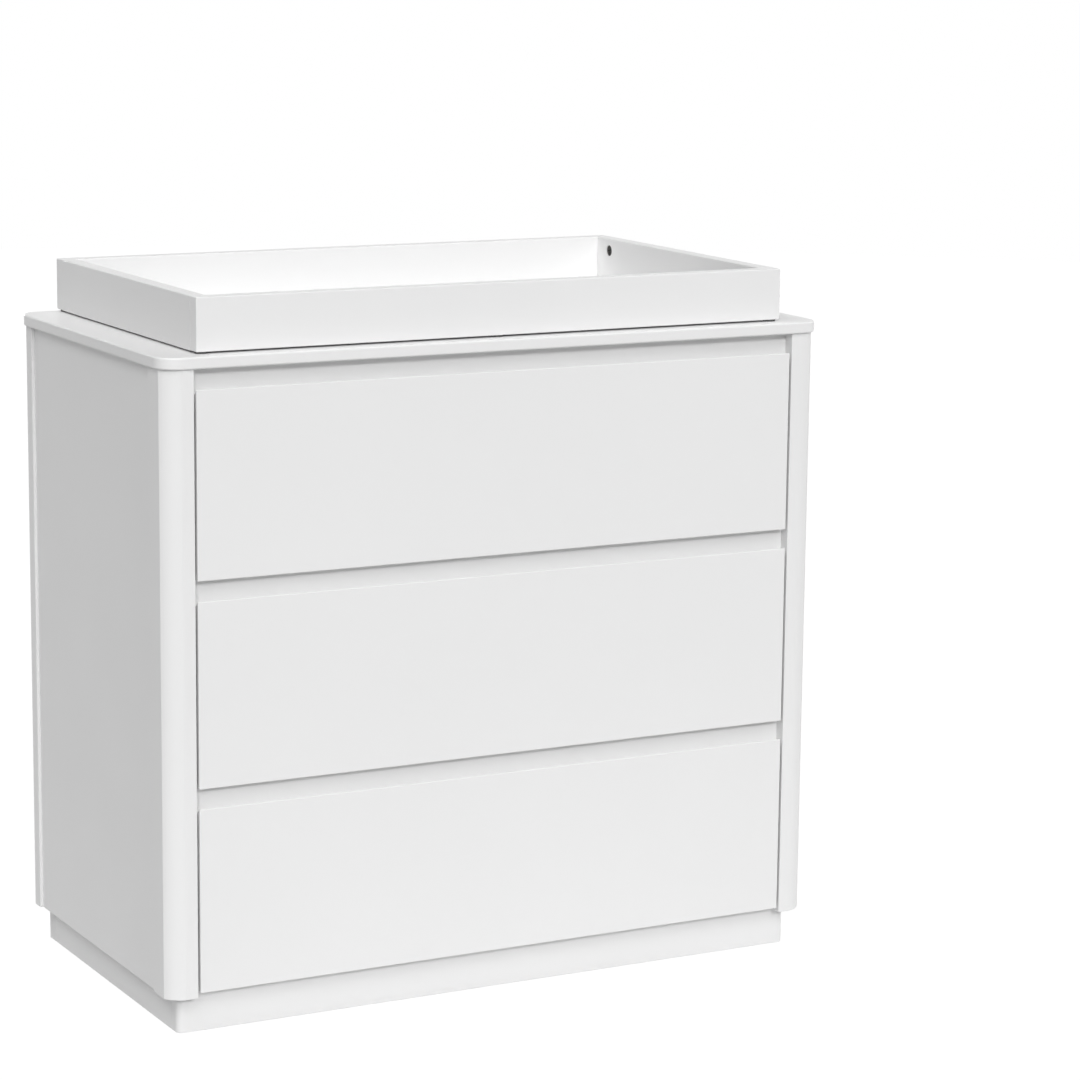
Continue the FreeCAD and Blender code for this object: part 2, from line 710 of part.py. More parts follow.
def make_drawer(number, label):
    base = base_of(number)
    low = f"{base} + box_lift"
    high = f"{low} + box_height"
    name = f"{label}_drawer"
    cams = []
    bolts = []
    screws = []
    for side in SIDES.values():
        for step in range(2):
            height = f"{low} + box_cam_low + {step} * box_cam_pitch"
            cams.append((f"{side} * box_in_x", "front_in + cam_distance", height, turn((0, -1, 0), (-side, 0, 0))))
            bolts.append((f"{side} * (box_in_x + box_side / 2)", "front_in", height, TO_BACK))
            screws.append((f"{side} * box_x", "box_end - box_side / 2",
                           f"{low} + box_screw_low + {step} * box_screw_pitch", turn((0, 1, 0), (side, 0, 0))))
    cam_bores = group(f"{name}_cam_bores", box_cam_bore, cams)
    bolt_bores = group(f"{name}_bolt_bores", bolt_bore, bolts)
    screw_bores = group(f"{name}_screw_bores", long_screw_bore, screws)
    rail_bores = group(f"{name}_rail_bores", slide_screw_bore, rail_screws[label])
    tongue = "box_floor_tongue"
    floor_x = (f"-box_in_x - {tongue}", f"box_in_x + {tongue}")
    floor_y = (f"front_in - {tongue}", f"box_end - box_side + {tongue}")
    floor_z = (f"{low} + box_floor_rise", f"{low} + box_floor_rise + box_floor")
    slot = box(f"{name}_floor_slot", floor_x, floor_y, floor_z)
    play = "board_play"
    floor = box(f"{name}_floor_board", (f"{floor_x[0]} + {play}", f"{floor_x[1]} - {play}"),
                (f"{floor_y[0]} + {play}", f"{floor_y[1]} - {play}"), floor_z)
    make_front(f"{name}_front", base, [bolt_bores, slot])
    for side_name, side in SIDES.items():
        board = box(f"{name}_side_board_{side_name}", side_range(side, "box_in_x", "box_x"),
                    ("front_in", "box_end"), (low, high))
        part = f"{name}_side_{side_name}"
        node(part, cut(part, board, cam_bores, bolt_bores, screw_bores, rail_bores, slot))
    back = box(f"{name}_back_board", ("-box_in_x", "box_in_x"), ("box_end - box_side", "box_end"), (low, high))
    node(f"{name}_back", cut(f"{name}_back", back, screw_bores, slot))
    node(f"{name}_bottom", floor)
    node(f"{name}_fasteners", several(f"{name}_fasteners",
                                      group(f"{name}_cams", box_cam, cams),
                                      group(f"{name}_bolts", cam_bolt, bolts),
                                      group(f"{name}_back_screws", long_screw, screws),
                                      group(f"{name}_rail_screws", slide_screw, rail_screws[label])))
    rails = group(f"{label}_rails", slide_rail_master, slide_places[label])
    node(f"{label}_slide_rails", cut(f"{label}_slide_rails", rails, rail_bores))


for number, label in enumerate(LEVELS):
    make_drawer(number, label)


# Changing tray

def make_tray():
    top = "tray_base + tray_height"
    cams = []
    bolts = []
    pegs = []
    for side in SIDES.values():
        middle = f"{side} * (tray_in_x + tray_wall / 2)"
        for end, joint in ((-1, "tray_in_front"), (1, "tray_in_back")):
            cams.append((f"{side} * tray_in_x", f"{joint} - ({end}) * cam_distance", "tray_base + tray_cam_rise",
                         turn((0, end, 0), (-side, 0, 0))))
            bolts.append((middle, joint, "tray_base + tray_cam_rise", TO_FRONT if end > 0 else TO_BACK))
            pegs.append((middle, joint, "tray_base + tray_dowel_rise", TO_BACK))
    cam_bores = group("tray_cam_bores", tray_cam_bore, cams)
    bolt_bores = group("tray_bolt_bores", bolt_bore, bolts)
    peg_bores = group("tray_dowel_bores", dowel_bore, pegs)
    tongue = "tray_floor_tongue"
    floor_x = (f"-tray_in_x - {tongue}", f"tray_in_x + {tongue}")
    floor_y = (f"tray_in_front - {tongue}", f"tray_in_back + {tongue}")
    floor_z = ("tray_base + tray_floor_rise", "tray_base + tray_floor_rise + tray_floor_thickness")
    slot = box("tray_floor_slot", floor_x, floor_y, floor_z)
    play = "board_play"
    floor = box("tray_floor_board", (f"{floor_x[0]} + {play}", f"{floor_x[1]} - {play}"),
                (f"{floor_y[0]} + {play}", f"{floor_y[1]} - {play}"), floor_z)
    for where, low_y in (("front", "tray_front"), ("back", "tray_in_back")):
        name = f"tray_wall_{where}"
        body, board = pad(f"{name}_board", "XY_Plane", rectangle("tray_width", "tray_wall"), "tray_height")
        height = value("tray_height")
        round_edges(body, board, "tray_edge_radius", lambda b: upright(b) or b.ZMin > height - TINY)
        place(body, "-tray_x", low_y, "tray_base")
        node(name, cut(name, body, bolt_bores, peg_bores, slot))
    for side_name, side in SIDES.items():
        name = f"tray_wall_{side_name}"
        body, board = pad(f"{name}_board", "XY_Plane", rectangle("tray_wall", "tray_in_back - (tray_in_front)"),
                          "tray_height")
        round_edges(body, board, "tray_edge_radius", lambda b: b.ZMin > height - TINY and b.YLength > TINY)
        place(body, side_range(side, "tray_in_x", "tray_x")[0], "tray_in_front", "tray_base")
        node(name, cut(name, body, cam_bores, bolt_bores, peg_bores, slot))
    node("tray_floor", floor)
    node("tray_cam_locks", group("tray_cam_locks", tray_cam, cams))
    node("tray_cam_bolts", group("tray_cam_bolts", cam_bolt, bolts))
    node("tray_dowels", group("tray_dowels", dowel, pegs))
    pad_disc = cylinder("tray_pad", "pad_radius", "0", "pad_thickness")
    feet = [(f"{place_x} * (tray_x - tray_wall / 2)", f"{edge} + tray_wall / 2", "top_level", UP)
            for place_x in (-1, 0, 1) for edge in ("tray_front", "tray_in_back")]
    node("tray_pads", group("tray_pads", pad_disc, feet))


make_tray()
doc.recompute()


# Checks and export

def check():
    for thing in doc.Objects:
        if "Invalid" in thing.State or "Error" in thing.State:
            raise RuntimeError(f"{thing.Name} failed: {thing.State}")
    for thing in nodes:
        shape = thing.Shape
        if shape.isNull() or not shape.isValid() or not shape.Solids:
            raise RuntimeError(f"{thing.Label} has no valid shape")


check()
os.makedirs("parts", exist_ok=True)
for thing in nodes:
    thing.Shape.exportStep(f"parts/{thing.Label}.step")
print(len(nodes), "sub-parts,", sum(len(thing.Shape.Solids) for thing in nodes), "solids")
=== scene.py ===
"""Eased white boards, paint, plywood, steel and studio light for the changing dresser."""
import json
from math import cos, pi, radians, sin

import bpy
import numpy as np
from bpy.props import FloatProperty, FloatVectorProperty, IntProperty, PointerProperty
from bpy.types import Operator, Panel, PropertyGroup
from mathutils import Matrix, Vector


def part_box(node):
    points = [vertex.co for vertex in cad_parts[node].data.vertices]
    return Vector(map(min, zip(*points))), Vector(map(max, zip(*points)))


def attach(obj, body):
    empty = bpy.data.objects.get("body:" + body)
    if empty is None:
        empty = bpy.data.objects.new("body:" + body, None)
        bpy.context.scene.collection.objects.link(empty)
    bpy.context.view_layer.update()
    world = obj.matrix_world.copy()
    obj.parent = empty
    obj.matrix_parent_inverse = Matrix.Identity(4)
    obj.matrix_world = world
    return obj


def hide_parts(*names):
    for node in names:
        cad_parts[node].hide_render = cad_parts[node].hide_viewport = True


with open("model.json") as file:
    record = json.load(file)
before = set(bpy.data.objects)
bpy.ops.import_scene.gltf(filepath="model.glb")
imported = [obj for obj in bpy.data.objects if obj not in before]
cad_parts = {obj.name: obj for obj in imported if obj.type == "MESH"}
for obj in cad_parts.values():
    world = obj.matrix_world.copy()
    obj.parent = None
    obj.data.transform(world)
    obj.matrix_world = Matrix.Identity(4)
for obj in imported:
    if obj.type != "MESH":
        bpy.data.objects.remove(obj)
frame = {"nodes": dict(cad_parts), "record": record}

bl_info = {
    "name": "Changing dresser dressing",
    "version": (1, 0, 0),
    "blender": (4, 5, 0),
    "location": "View3D > Sidebar > Dresser",
    "description": "Eased boards, paint, plywood, steel and studio light for the changing dresser",
    "category": "Object",
}

LEVELS = ("upper", "middle", "lower")
SIDES = ("left", "right")
NODES = frame["nodes"]
BODIES = frame["record"]["behaviour"]["bodies"]
NODE_BODY = {node: body for body, nodes in BODIES.items() for node in nodes}
MM = 0.001

# Each far lamp's azimuth (0 in front, positive to the right), elevation and apparent size, in degrees.
LAMPS = {
    "front": (0, 25, 12),
    "front_high": (0, 45, 25),
    "left": (-32, 25, 12),
    "left_high": (-35, 45, 25),
    "side_high": (-90, 60, 30),
    "right": (88, 12, 25),
    "back": (178, 3, 6),
}

# The camera: its place in metres, its angles in degrees, its lens and sensor in millimetres, and its range.
CAMERA_PLACE = (-1.9977, -4.0703, 1.3970)
CAMERA_TURN, CAMERA_TILT, CAMERA_ROLL = 28.151, 10.627, 0.614
CAMERA_LENS, CAMERA_SENSOR = 117.02, 36
CAMERA_NEAR, CAMERA_FAR = 0.1, 50

# The floor disc: its radius, its number of sides, how far it lies under the feet and how white it looks.
FLOOR_RADIUS, FLOOR_SIDES, FLOOR_DROP, FLOOR_WHITE = 9, 96, 0.0004, 1.13

# How many features of each noise pattern fit in a metre.
CLOUDS, GLOSS_CLOUDS, WAVES, FINE_WAVES = 3.1, 9, 420, 1400
RINGS, FIBRES, FLECKS, PORES = 26, 90, 900, 2600
ZINC_GRAIN, CAM_GRAIN, SPANGLE = 700, 500, 260

LACQUER_IOR = 1.47


# Settings

def length(name, description, default):
    return FloatProperty(name=name, description=description, default=default, min=0, unit="LENGTH",
                         precision=5)


def angle(name, description, default):
    return FloatProperty(name=name, description=description, default=radians(default), subtype="ANGLE")


def share(name, description, default):
    return FloatProperty(name=name, description=description, default=default, min=0, max=1,
                         subtype="FACTOR")


def strength(name, description, default):
    return FloatProperty(name=name, description=description, default=default, min=0)


def colour(name, description, default):
    return FloatVectorProperty(name=name, description=description, default=default, min=0, max=1,
                               size=3, subtype="COLOR")


class BoardSettings(PropertyGroup):
    top_corner: length("Top corner", "Plan radius of the top's corners", 0.028)
    top_edge: length("Top edge", "Rounding of the top's edges", 0.0025)
    post_round: length("Post round", "Radius of a post's outer corner", 0.034)
    post_start: angle("Round start", "Angle from the side face where the round starts", 30)
    post_end: angle("Round end", "Angle from the side face where the round ends", 80)
    back_rabbet: length("Back rabbet", "How far the back laps over a back post", 0.010)
    rabbet_root: length("Rabbet root", "Radius in the corner of that rabbet", 0.0002)
    front_land: length("Front land", "Level strip on top of a drawer front, before its slope", 0.002)
    front_edge: length("Front edge", "Rounding of a drawer front's edges", 0.0013)
    tray_edge: length("Tray edge", "Rounding of the tray walls' edges", 0.0015)
    board_edge: length("Board edge", "Easing of the other painted boards", 0.0008)
    plinth_corner: length("Plinth corner", "Plan radius of the plinth's front corners", 0.009)
    arc_steps: IntProperty(name="Arc steps", description="Points round each corner", default=17, min=3)
    edge_steps: IntProperty(name="Edge steps", description="Rings over each eased edge", default=7, min=2)


class FinishSettings(PropertyGroup):
    paint: colour("Paint", "White lacquer on the boards", (0.84, 0.84, 0.84))
    paint_roughness: share("Paint roughness", "How matt the lacquer is", 0.42)
    orange_peel: share("Orange peel", "Height of the lacquer's fine waves", 0.05)
    panel_white: colour("Back panel", "Printed white face of the back panel", (0.80, 0.80, 0.795))
    ply_light: colour("Ply, light", "Early wood of the drawer boards", (0.77, 0.61, 0.42))
    ply_dark: colour("Ply, dark", "Late wood of the drawer boards", (0.60, 0.42, 0.25))
    ply_sheet: length("Ply sheet", "Thickness of one sheet of veneer", 0.0017)
    zinc: colour("Zinc", "Plating of screws and cam locks", (0.46, 0.46, 0.45))
    steel: colour("Steel", "Galvanised sheet of the slides", (0.60, 0.61, 0.62))
    # Painted shade: the cam locks are made near black to stand in for the shade deep in their holes.
    cam: colour("Cam locks", "Dark die-cast metal of the cam locks", (0.075, 0.073, 0.07))
    # Painted shade: the pads are near black so they read as the shadow in the gap under the tray.
    rubber: colour("Pads", "Soft pads under the tray", (0.09, 0.09, 0.09))


class StudioSettings(PropertyGroup):
    ambient: strength("Ambient", "Strength of the even studio light", 0.08)
    front: strength("Front", "Lamp in front", 1.04)
    front_high: strength("Front, high", "Lamp high in front", 0.37)
    left: strength("Left", "Lamp on the left of the front", 0.47)
    left_high: strength("Left, high", "Lamp high on the left of the front", 0.77)
    side_high: strength("Side, high", "Lamp high over the left side", 0.66)
    right: strength("Right", "Lamp on the right side", 0.79)
    back: strength("Back", "Lamp behind", 1.15)
    floor_paint: colour("Floor", "What the floor gives back to the object", (0.63, 0.63, 0.63))
    shadow: share("Shadow", "How much of the object's shadow the white floor shows", 0.15)


# Shader maths

class Wire:
    """One socket of a material. Arithmetic on wires adds the Math nodes that work it out."""

    def __init__(self, recipe, socket):
        self.recipe = recipe
        self.socket = socket

    def __add__(self, other):
        return self.recipe.math("ADD", self, other)

    def __sub__(self, other):
        return self.recipe.math("SUBTRACT", self, other)

    def __mul__(self, other):
        return self.recipe.math("MULTIPLY", self, other)

    def __truediv__(self, other):
        return self.recipe.math("DIVIDE", self, other)

    __radd__ = __add__


class Recipe:
    """A material's nodes. One method adds any node; the others are short names for common ones."""

    def __init__(self, name):
        self.material = bpy.data.materials.new(name)
        self.material.use_nodes = True
        self.tree = self.material.node_tree
        self.tree.nodes.clear()
        self.end = self.tree.nodes.new("ShaderNodeOutputMaterial")

    def add(self, kind, settings=None, inputs=None, output=0):
        """Adds a node, sets it up, feeds its sockets and gives back one output."""
        node = self.tree.nodes.new(kind)
        for name, value in (settings or {}).items():
            if name == "stops":
                self.set_stops(node.color_ramp, value)
            else:
                setattr(node, name, value)
        for name, value in (inputs or {}).items():
            if isinstance(value, Wire):
                self.tree.links.new(value.socket, node.inputs[name])
            else:
                node.inputs[name].default_value = value
        return Wire(self, node.outputs[output])

    def set_stops(self, ramp, stops):
        while len(ramp.elements) < len(stops):
            ramp.elements.new(1)
        for element, (position, tone) in zip(ramp.elements, stops):
            element.position = position
            element.color = (*tone, 1)

    def math(self, operation, *values):
        return self.add("ShaderNodeMath", {"operation": operation}, dict(enumerate(values)))

    def place(self):
        """The point of the surface in the object's own frame, in metres."""
        return self.add("ShaderNodeTexCoord", output="Object")

    def stretch(self, vector, scale):
        return self.add("ShaderNodeMapping", inputs={"Vector": vector, "Scale": scale})

    def part(self, vector, axis):
        return self.add("ShaderNodeSeparateXYZ", inputs={"Vector": vector}, output=axis)

    def noise(self, vector, scale, detail=2.0, roughness=0.5, distortion=0.0):
        return self.add("ShaderNodeTexNoise", inputs={"Vector": vector, "Scale": scale, "Detail": detail,
                                                      "Roughness": roughness, "Distortion": distortion})

    def ramp(self, value, stops):
        return self.add("ShaderNodeValToRGB", {"stops": stops}, {"Fac": value})

    def remap(self, value, low, high, new_low=0, new_high=1):
        return self.add("ShaderNodeMapRange", inputs={"Value": value, "From Min": low, "From Max": high,
                                                      "To Min": new_low, "To Max": new_high})

    def spread(self, noise, low=0, high=1):
        """A noise's usual range, stretched from low to high."""
        return self.remap(noise, 0.3, 0.7, low, high)

    def blend(self, factor, first, second):
        """Two colours mixed by a factor."""
        return self.add("ShaderNodeMix", {"data_type": "RGBA"}, {0: factor, 6: first, 7: second}, 2)

    def shaded(self, factor, tone, darkest):
        """A tone that goes down to the share called darkest where the factor is 0."""
        return self.blend(factor, solid([c * darkest for c in tone]), solid(tone))

    def bump(self, height, distance):
        return self.add("ShaderNodeBump", inputs={"Height": height, "Distance": distance, "Strength": 1})

    def surface(self, **sockets):
        """The finished surface. Names are those of the shader's sockets, with underscores for spaces."""
        named = {name.replace("_", " "): value for name, value in sockets.items()}
        shader = self.add("ShaderNodeBsdfPrincipled", inputs=named)
        self.tree.links.new(shader.socket, self.end.inputs["Surface"])
        return self.material


def solid(tone):
    return (*tone, 1.0)


def make_paint(name, tone, roughness, peel):
    """Sprayed satin lacquer: fine waves, faint clouds in the white and in the gloss."""
    recipe = Recipe(name)
    place = recipe.place()
    tint = recipe.shaded(recipe.spread(recipe.noise(place, CLOUDS, 3)), tone, 0.985)
    waves = recipe.noise(place, WAVES) * 0.7 + recipe.noise(place, FINE_WAVES) * 0.3
    gloss = recipe.spread(recipe.noise(place, GLOSS_CLOUDS, 4), roughness - 0.03, roughness + 0.03)
    return recipe.surface(Base_Color=tint, Roughness=gloss, IOR=LACQUER_IOR,
                          Normal=recipe.bump(waves, peel * MM))


def make_ply(name, finish, along, across):
    """Lacquered plywood: grain that runs along one axis, and sheets of veneer stacked across another."""
    recipe = Recipe(name)
    place = recipe.place()
    light, dark = finish.ply_light, finish.ply_dark
    long_fibres = [0.06 if axis == along else 1.0 for axis in range(3)]
    fine_fibres = [0.06 if axis == along else 9.0 for axis in range(3)]
    rings = recipe.noise(recipe.stretch(place, long_fibres), RINGS, 4, 0.55, 0.6)
    fine = recipe.noise(recipe.stretch(place, fine_fibres), FIBRES, 3)
    grain = recipe.remap(rings * 0.75 + fine * 0.25, 0.35, 0.65)
    middle = [(a * 3 + b) / 4 for a, b in zip(light, dark)]
    wood = recipe.ramp(grain, [(0, light), (0.55, middle), (1, dark)])
    sheets = recipe.part(place, across) / (2 * finish.ply_sheet)
    layer = recipe.math("ABSOLUTE", recipe.math("FRACT", sheets) - 0.5)
    banded = recipe.blend(recipe.remap(layer, 0.22, 0.28, 0, 0.35), wood, solid(dark))
    normal = recipe.add("ShaderNodeNewGeometry", output="Normal")
    flat = recipe.math("ABSOLUTE", recipe.part(normal, across))
    tone = recipe.blend(recipe.remap(flat, 0.6, 0.8), banded, wood)
    return recipe.surface(Base_Color=tone, Roughness=recipe.spread(fine, 0.42, 0.55),
                          Normal=recipe.bump(grain, 0.05 * MM))


def make_metal(name, tone, roughness, scale, squeeze=(1, 1, 1)):
    """Plated steel with streaks or spangle, stretched as the sheet was rolled."""
    recipe = Recipe(name)
    streaks = recipe.noise(recipe.stretch(recipe.place(), squeeze), scale, 4, 0.6)
    mix = recipe.spread(streaks)
    return recipe.surface(Base_Color=recipe.shaded(mix, tone, 0.82), Metallic=1.0,
                          Roughness=recipe.remap(mix, 0, 1, roughness, roughness + 0.14),
                          Normal=recipe.bump(streaks, 0.02 * MM))


def make_dowel_wood(name):
    """Bare beech with its short dark flecks."""
    recipe = Recipe(name)
    pale, brown = (0.62, 0.43, 0.26), (0.48, 0.30, 0.17)
    flecks = recipe.noise(recipe.stretch(recipe.place(), (1, 0.2, 1)), FLECKS, 3)
    tone = recipe.ramp(recipe.remap(flecks, 0.35, 0.7), [(0, pale), (1, brown)])
    return recipe.surface(Base_Color=tone, Roughness=0.7, Normal=recipe.bump(flecks, 0.05 * MM))


def make_pad_rubber(name, tone):
    """Soft foamed pads with a fine open skin."""
    recipe = Recipe(name)
    pores = recipe.noise(recipe.place(), PORES, 3)
    tint = recipe.shaded(recipe.spread(pores), tone, 0.85)
    return recipe.surface(Base_Color=tint, Roughness=0.85, Normal=recipe.bump(pores, 0.15 * MM))


def finish_of(name):
    """The material of that name, made the first time that a piece asks for it."""
    known = bpy.data.materials.get(name)
    if known:
        return known
    finish = bpy.context.scene.dresser_finish
    peel = finish.orange_peel
    makers = {
        "sprayed_white": lambda: make_paint(name, finish.paint, finish.paint_roughness, peel),
        "printed_white": lambda: make_paint(name, finish.panel_white, 0.5, peel / 2),
        "ply_side": lambda: make_ply(name, finish, along=1, across=0),
        "ply_back": lambda: make_ply(name, finish, along=0, across=1),
        "ply_floor": lambda: make_ply(name, finish, along=0, across=2),
        "zinc_plate": lambda: make_metal(name, finish.zinc, 0.34, ZINC_GRAIN),
        "dark_die_cast": lambda: make_metal(name, finish.cam, 0.42, CAM_GRAIN),
        # Painted shade: near-black metal for the cam locks, standing in for the shade in their holes.
        "galvanised": lambda: make_metal(name, finish.steel, 0.30, SPANGLE, (1, 0.08, 1)),
        "bare_beech": lambda: make_dowel_wood(name),
        # Foam rubber pads in near black, as painted shade in the gap under the tray.
        "foam_rubber": lambda: make_pad_rubber(name, finish.rubber),
    }
    return makers[name]()


# Surfaces

def rounded(corners, steps):
    """A closed outline with rounded corners, anticlockwise, as points and outward normals.

    A corner (u, v, r) becomes centre + s r N. N turns evenly from the outward normal of the side that
    arrives to that of the side that leaves, and s is 1 at an outer corner and -1 at a hollow one.
    """
    corners = np.array(corners, float)
    point = corners[:, :2]
    radius = corners[:, 2:]
    leave = np.roll(point, -1, axis=0) - point
    leave /= np.linalg.norm(leave, axis=1, keepdims=True)
    arrive = np.roll(leave, 1, axis=0)
    facing = np.stack([arrive[:, 1], -arrive[:, 0]], axis=1)
    cross = arrive[:, :1] * leave[:, 1:] - arrive[:, 1:] * leave[:, :1]
    turn = np.arctan2(cross, (arrive * leave).sum(1, keepdims=True))
    bulge = np.sign(turn) * radius
    centre = point - arrive * radius * np.tan(np.abs(turn) / 2) - bulge * facing
    angle = np.arctan2(facing[:, 1:], facing[:, :1]) + turn * np.linspace(0, 1, steps)
    normal = np.stack([np.cos(angle), np.sin(angle)], axis=2)
    points = centre[:, None] + bulge[:, None] * normal
    return points.reshape(-1, 2), normal.reshape(-1, 2)


def block_outline(low, high, radii, steps):
    """A rectangle from low to high. The radii go anticlockwise from the low corner."""
    corners = [(low[0], low[1]), (high[0], low[1]), (high[0], high[1]), (low[0], high[1])]
    return rounded([(u, v, r) for (u, v), r in zip(corners, radii)], steps)


def merge_creases(points, before):
    """Where two points meet in a crease, one point with two normals: as it arrives and as it leaves."""
    after = before.copy()
    twin = np.linalg.norm(np.roll(points, -1, axis=0) - points, axis=1) < 1e-7
    after[twin] = np.roll(before, -1, axis=0)[twin]
    keep = ~np.roll(twin, 1)
    return points[keep], before[keep], after[keep]


def to_space(pairs, third, axis):
    """Outline coordinates and a third one as X, Y, Z. The outline lies square to the axis."""
    columns = [pairs[..., 0], pairs[..., 1], third]
    order = {"z": (0, 1, 2), "x": (2, 0, 1), "y": (1, 2, 0)}[axis]
    return np.stack([columns[i] for i in order], axis=-1)


def carried(name, outline, low, high, edge, axis, steps):
    """An outline carried from low to high along an axis, with quarter-round ends and flat caps.

    At the turn t of an end, a ring lies edge (1 - cos t) inside the outline and edge (1 - sin t) short of
    the end, and its normal is N cos t + axis sin t. At a crease the ring keeps to the mitre of the sides.
    """
    points, before, after = merge_creases(*outline)
    mitre = before + after
    mitre *= 2 / (mitre ** 2).sum(1, keepdims=True)
    turn = np.linspace(0, pi / 2, steps)
    tilt = np.concatenate([-turn[::-1], turn])
    short = edge * (1 - np.sin(turn))
    level = np.concatenate([low + short[::-1], high - short])
    inset = edge * (1 - np.cos(tilt))
    rings = points[None] - mitre[None] * inset[:, None, None]
    count = len(points)
    spread = np.broadcast_to(level[:, None], rings.shape[:2])
    vertices = to_space(rings, spread, axis).reshape(-1, 3)

    def facing(normal):
        level_part = normal[None] * np.cos(tilt)[:, None, None]
        rise = np.broadcast_to(np.sin(tilt)[:, None], rings.shape[:2])
        return to_space(level_part, rise, axis)

    number = np.arange(rings.shape[0] * count).reshape(-1, count)
    following = np.roll(number, -1, axis=1)
    quads = np.stack([number[:-1], following[:-1], following[1:], number[1:]], axis=-1).reshape(-1, 4)
    leaving = facing(after)
    arriving = np.roll(facing(before), -1, axis=1)
    corner_normals = np.stack([leaving[:-1], arriving[:-1], arriving[1:], leaving[1:]], axis=2).reshape(-1, 3)
    cap = to_space(np.zeros((count, 2)), np.ones(count), axis)
    corner_normals = np.concatenate([corner_normals, -cap, cap])
    faces = quads.tolist() + [number[0, ::-1].tolist(), number[-1].tolist()]
    return make_mesh(name, vertices, faces, corner_normals)


def make_mesh(name, vertices, faces, corner_normals):
    """A mesh with a stated normal at each corner of a face, so that a flat stays flat beside a round."""
    mesh = bpy.data.meshes.new(name)
    mesh.from_pydata(vertices, [], faces)
    mesh.shade_smooth()
    mesh.normals_split_custom_set(corner_normals)
    return mesh


def stand_in(name, mesh, node, material):
    """A piece that takes a node's place, on the node's body and in the node's material slot."""
    piece = bpy.data.objects.new(name, mesh)
    bpy.context.scene.collection.objects.link(piece)
    mesh.materials.append(finish_of(material))
    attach(piece, NODE_BODY[node])
    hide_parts(node)


def flat_axes(axis):
    """The two axes of an outline that lies square to the given one, in order."""
    return {"z": (0, 1), "x": (1, 2), "y": (2, 0)}[axis]


def dress_board(node, axis, edge, radii=None, steps=None):
    """An eased board in the place of a plain one, carried along its own axis."""
    steps = steps or bpy.context.scene.dresser_boards.edge_steps
    low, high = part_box(node)
    u, v = flat_axes(axis)
    w = "xyz".index(axis)
    outline = block_outline((low[u], low[v]), (high[u], high[v]), radii or [edge] * 4, steps)
    mesh = carried(f"{node}_eased", outline, low[w], high[w], edge, axis, steps)
    stand_in(f"{node}_eased", mesh, node, "sprayed_white")


# Operators

class DRESSER_OT_top(Operator):
    """Makes the top with rounded corners and edges"""
    bl_idname = "dresser.top"
    bl_label = "Top"

    def execute(self, context):
        boards = context.scene.dresser_boards
        low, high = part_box("top_panel")
        outline = block_outline(low, high, [boards.top_corner] * 4, boards.arc_steps)
        mesh = carried("rounded_top", outline, low.z, high.z, boards.top_edge, "z", boards.edge_steps)
        stand_in("rounded_top", mesh, "top_panel", "sprayed_white")
        return {"FINISHED"}


class DRESSER_OT_posts(Operator):
    """Makes the corner posts, whose outer corner is a creased round"""
    bl_idname = "dresser.posts"
    bl_label = "Posts"

    def outline(self, boards, low, high, mirror_x, mirror_y):
        """The outline of the front left post, turned over for the others. A back post has a rabbet.

        The round is centre - r (cos a, sin a), with a from the start angle to the end angle. Its first and
        last points come twice, once with the round's normal and once with that of the face they meet.
        """
        width, depth = high[0] - low[0], high[1] - low[1]
        radius = boards.post_round
        centre = np.array([radius * cos(boards.post_start), radius * sin(boards.post_end)])
        angle = np.linspace(boards.post_start, boards.post_end, boards.arc_steps)
        normal = -np.stack([np.cos(angle), np.sin(angle)], axis=1)
        round_points = centre + radius * normal
        ease = boards.board_edge
        eased = [(width, 0, ease), (width, depth, ease), (0, depth, ease), (0, 0, 0)]
        if mirror_y:
            shoulder = width - boards.back_rabbet
            recess = high[1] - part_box("back_panel")[0].y
            eased[:1] = [(shoulder, 0, ease), (shoulder, recess, boards.rabbet_root), (width, recess, ease)]
        points, normals = rounded(eased, boards.edge_steps)
        kept = (len(eased) - 1) * boards.edge_steps
        points = np.concatenate([round_points[:1], round_points, round_points[-1:], points[:kept]])
        normals = np.concatenate([[(-1, 0)], normal, [(0, -1)], normals[:kept]])
        flip = np.array([-1 if mirror_x else 1, -1 if mirror_y else 1])
        origin = np.array([high[0] if mirror_x else low[0], high[1] if mirror_y else low[1]])
        points, normals = origin + points * flip, normals * flip
        if mirror_x != mirror_y:
            points, normals = points[::-1], normals[::-1]
        return points, normals

    def execute(self, context):
        boards = context.scene.dresser_boards
        for end in ("front", "back"):
            for side in SIDES:
                node = f"post_{end}_{side}"
                low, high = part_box(node)
                outline = self.outline(boards, low, high, side == "right", end == "back")
                mesh = carried(f"{node}_round", outline, low.z, high.z, boards.board_edge, "z",
                               boards.edge_steps)
                stand_in(f"{node}_round", mesh, node, "sprayed_white")
        return {"FINISHED"}


class DRESSER_OT_sides(Operator):
    """Makes the side panels between the posts"""
    bl_idname = "dresser.sides"
    bl_label = "Side panels"

    def execute(self, context):
        for side in SIDES:
            dress_board(f"side_panel_{side}", "z", context.scene.dresser_boards.board_edge)
        return {"FINISHED"}


class DRESSER_OT_plinth(Operator):
    """Makes the boards of the recessed plinth"""
    bl_idname = "dresser.plinth"
    bl_label = "Plinth"

    def execute(self, context):
        boards = context.scene.dresser_boards
        small, large = boards.board_edge, boards.plinth_corner
        dress_board("plinth_front", "z", small, [large, large, small, small], boards.arc_steps)
        for node in ("plinth_back", "plinth_left", "plinth_right"):
            dress_board(node, "z", small)
        return {"FINISHED"}


